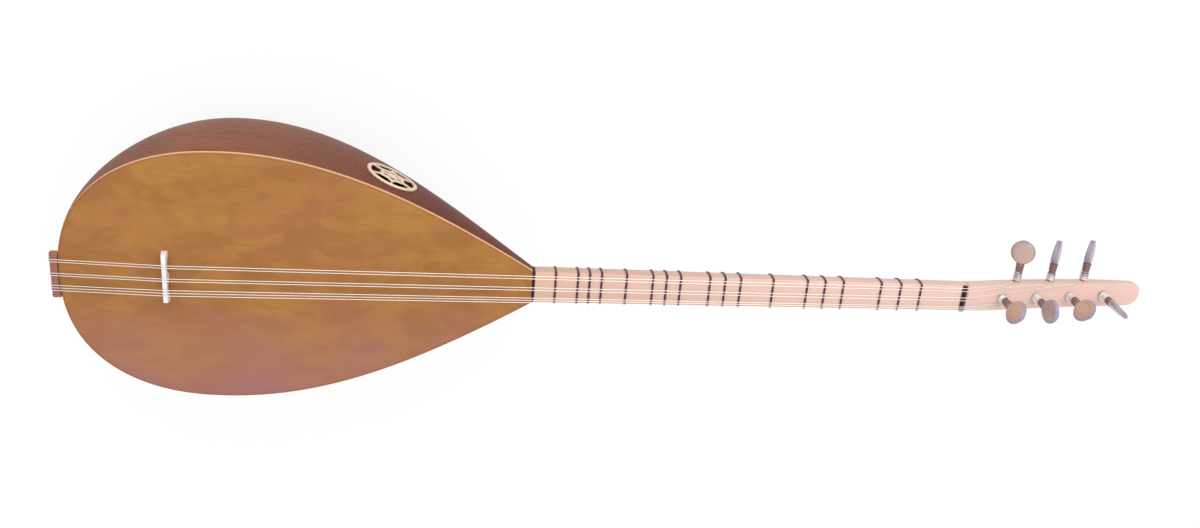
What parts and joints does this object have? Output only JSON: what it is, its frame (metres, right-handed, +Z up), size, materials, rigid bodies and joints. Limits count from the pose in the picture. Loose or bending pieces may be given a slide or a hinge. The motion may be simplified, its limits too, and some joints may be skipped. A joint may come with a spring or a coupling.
{
  "type": "saz",
  "caption": "Long-necked lute with a carved pear-shaped bowl, flat soundboard, tied movable frets, bent-back head, turning pegs and metal strings.",
  "frame": {"origin": "bottom centre of the whole instrument, lying on its bowl with the soundboard up", "axes": "+X along the strings towards the head, +Y towards the side pegs and the sound hole, +Z up out of the soundboard"},
  "size_m": [1.0018, 0.238, 0.2372],
  "materials": {
    "bowl_wood": "satin dark reddish brown",
    "soundboard_wood": "satin amber spruce",
    "binding_wood": "satin pale orange",
    "brace_wood": "raw spruce",
    "rosette_wood": "satin cream",
    "neck_wood": "satin pale maple",
    "dark_wood": "polished dark hardwood",
    "tailpiece_wood": "polished red-brown hardwood",
    "bridge_bone": "matt white bone or maple",
    "fret_nylon": "dark maroon nylon line",
    "peg_wood": "polished rosewood",
    "string_steel": "drawn steel wire"
  },
  "bodies": {
    "instrument": {"bowl": "bowl_wood", "soundboard": "soundboard_wood", "edge_binding": "binding_wood", "brace_bridge": "brace_wood", "brace_upper": "brace_wood", "rosette": "rosette_wood", "neck": "neck_wood", "joint_band": "dark_wood", "headstock": "neck_wood", "nut": "dark_wood", "tailpiece": "tailpiece_wood", "string_1": "string_steel", "string_2": "string_steel", "string_3": "string_steel", "string_4": "string_steel", "string_5": "string_steel", "string_6": "string_steel", "string_7": "string_steel"},
    "bridge_body": {"bridge": "bridge_bone"},
    "fret_body_01": {"fret_01": "fret_nylon"},
    "fret_body_02": {"fret_02": "fret_nylon"},
    "fret_body_03": {"fret_03": "fret_nylon"},
    "fret_body_04": {"fret_04": "fret_nylon"},
    "fret_body_05": {"fret_05": "fret_nylon"},
    "fret_body_06": {"fret_06": "fret_nylon"},
    "fret_body_07": {"fret_07": "fret_nylon"},
    "fret_body_08": {"fret_08": "fret_nylon"},
    "fret_body_09": {"fret_09": "fret_nylon"},
    "fret_body_10": {"fret_10": "fret_nylon"},
    "fret_body_11": {"fret_11": "fret_nylon"},
    "fret_body_12": {"fret_12": "fret_nylon"},
    "fret_body_13": {"fret_13": "fret_nylon"},
    "fret_body_14": {"fret_14": "fret_nylon"},
    "fret_body_15": {"fret_15": "fret_nylon"},
    "fret_body_16": {"fret_16": "fret_nylon"},
    "fret_body_17": {"fret_17": "fret_nylon"},
    "fret_body_18": {"fret_18": "fret_nylon"},
    "peg_body_front_1": {"peg_front_1": "peg_wood", "winding_4": "string_steel"},
    "peg_body_front_2": {"peg_front_2": "peg_wood", "winding_5": "string_steel"},
    "peg_body_front_3": {"peg_front_3": "peg_wood", "winding_6": "string_steel"},
    "peg_body_front_4": {"peg_front_4": "peg_wood", "winding_7": "string_steel"},
    "peg_body_side_1": {"peg_side_1": "peg_wood", "winding_1": "string_steel"},
    "peg_body_side_2": {"peg_side_2": "peg_wood", "winding_2": "string_steel"},
    "peg_body_side_3": {"peg_side_3": "peg_wood", "winding_3": "string_steel"}
  },
  "joints": [
    {"name": "bridge_slide", "type": "slide", "parent": "instrument", "child": "bridge_body", "axis": [1, 0, 0], "range_m": [-0.002, 0.002]},
    {"name": "fret_slide_01", "type": "slide", "parent": "instrument", "child": "fret_body_01", "axis": [1, 0, 0], "range_m": [-0.003, 0.003]},
    {"name": "fret_slide_02", "type": "slide", "parent": "instrument", "child": "fret_body_02", "axis": [1, 0, 0], "range_m": [-0.003, 0.003]},
    {"name": "fret_slide_03", "type": "slide", "parent": "instrument", "child": "fret_body_03", "axis": [1, 0, 0], "range_m": [-0.003, 0.003]},
    {"name": "fret_slide_04", "type": "slide", "parent": "instrument", "child": "fret_body_04", "axis": [1, 0, 0], "range_m": [-0.003, 0.003]},
    {"name": "fret_slide_05", "type": "slide", "parent": "instrument", "child": "fret_body_05", "axis": [1, 0, 0], "range_m": [-0.003, 0.003]},
    {"name": "fret_slide_06", "type": "slide", "parent": "instrument", "child": "fret_body_06", "axis": [1, 0, 0], "range_m": [-0.003, 0.003]},
    {"name": "fret_slide_07", "type": "slide", "parent": "instrument", "child": "fret_body_07", "axis": [1, 0, 0], "range_m": [-0.003, 0.003]},
    {"name": "fret_slide_08", "type": "slide", "parent": "instrument", "child": "fret_body_08", "axis": [1, 0, 0], "range_m": [-0.003, 0.003]},
    {"name": "fret_slide_09", "type": "slide", "parent": "instrument", "child": "fret_body_09", "axis": [1, 0, 0], "range_m": [-0.003, 0.003]},
    {"name": "fret_slide_10", "type": "slide", "parent": "instrument", "child": "fret_body_10", "axis": [1, 0, 0], "range_m": [-0.003, 0.003]},
    {"name": "fret_slide_11", "type": "slide", "parent": "instrument", "child": "fret_body_11", "axis": [1, 0, 0], "range_m": [-0.003, 0.003]},
    {"name": "fret_slide_12", "type": "slide", "parent": "instrument", "child": "fret_body_12", "axis": [1, 0, 0], "range_m": [-0.003, 0.003]},
    {"name": "fret_slide_13", "type": "slide", "parent": "instrument", "child": "fret_body_13", "axis": [1, 0, 0], "range_m": [-0.003, 0.003]},
    {"name": "fret_slide_14", "type": "slide", "parent": "instrument", "child": "fret_body_14", "axis": [1, 0, 0], "range_m": [-0.003, 0.003]},
    {"name": "fret_slide_15", "type": "slide", "parent": "instrument", "child": "fret_body_15", "axis": [1, 0, 0], "range_m": [-0.003, 0.003]},
    {"name": "fret_slide_16", "type": "slide", "parent": "instrument", "child": "fret_body_16", "axis": [1, 0, 0], "range_m": [-0.003, 0.003]},
    {"name": "fret_slide_17", "type": "slide", "parent": "instrument", "child": "fret_body_17", "axis": [1, 0, 0], "range_m": [-0.003, 0.003]},
    {"name": "fret_slide_18", "type": "slide", "parent": "instrument", "child": "fret_body_18", "axis": [1, 0, 0], "range_m": [-0.003, 0.003]},
    {"name": "peg_turn_front_1", "type": "hinge", "parent": "instrument", "child": "peg_body_front_1", "pos_m": [0.35757, 0, 0.19619], "axis": [0.108, 0, 0.9942], "continuous": true},
    {"name": "peg_turn_front_2", "type": "hinge", "parent": "instrument", "child": "peg_body_front_2", "pos_m": [0.39236, 0, 0.19241], "axis": [0.108, 0, 0.9942], "continuous": true},
    {"name": "peg_turn_front_3", "type": "hinge", "parent": "instrument", "child": "peg_body_front_3", "pos_m": [0.42716, 0, 0.18863], "axis": [0.108, 0, 0.9942], "continuous": true},
    {"name": "peg_turn_front_4", "type": "hinge", "parent": "instrument", "child": "peg_body_front_4", "pos_m": [0.46195, 0, 0.18485], "axis": [0.108, 0, 0.9942], "continuous": true},
    {"name": "peg_turn_side_1", "type": "hinge", "parent": "instrument", "child": "peg_body_side_1", "pos_m": [0.37394, 0.0125, 0.18485], "axis": [0, 1, 0], "continuous": true},
    {"name": "peg_turn_side_2", "type": "hinge", "parent": "instrument", "child": "peg_body_side_2", "pos_m": [0.40874, 0.01192, 0.18107], "axis": [0, 1, 0], "continuous": true},
    {"name": "peg_turn_side_3", "type": "hinge", "parent": "instrument", "child": "peg_body_side_3", "pos_m": [0.44353, 0.01153, 0.17729], "axis": [0, 1, 0], "continuous": true}
  ]
}
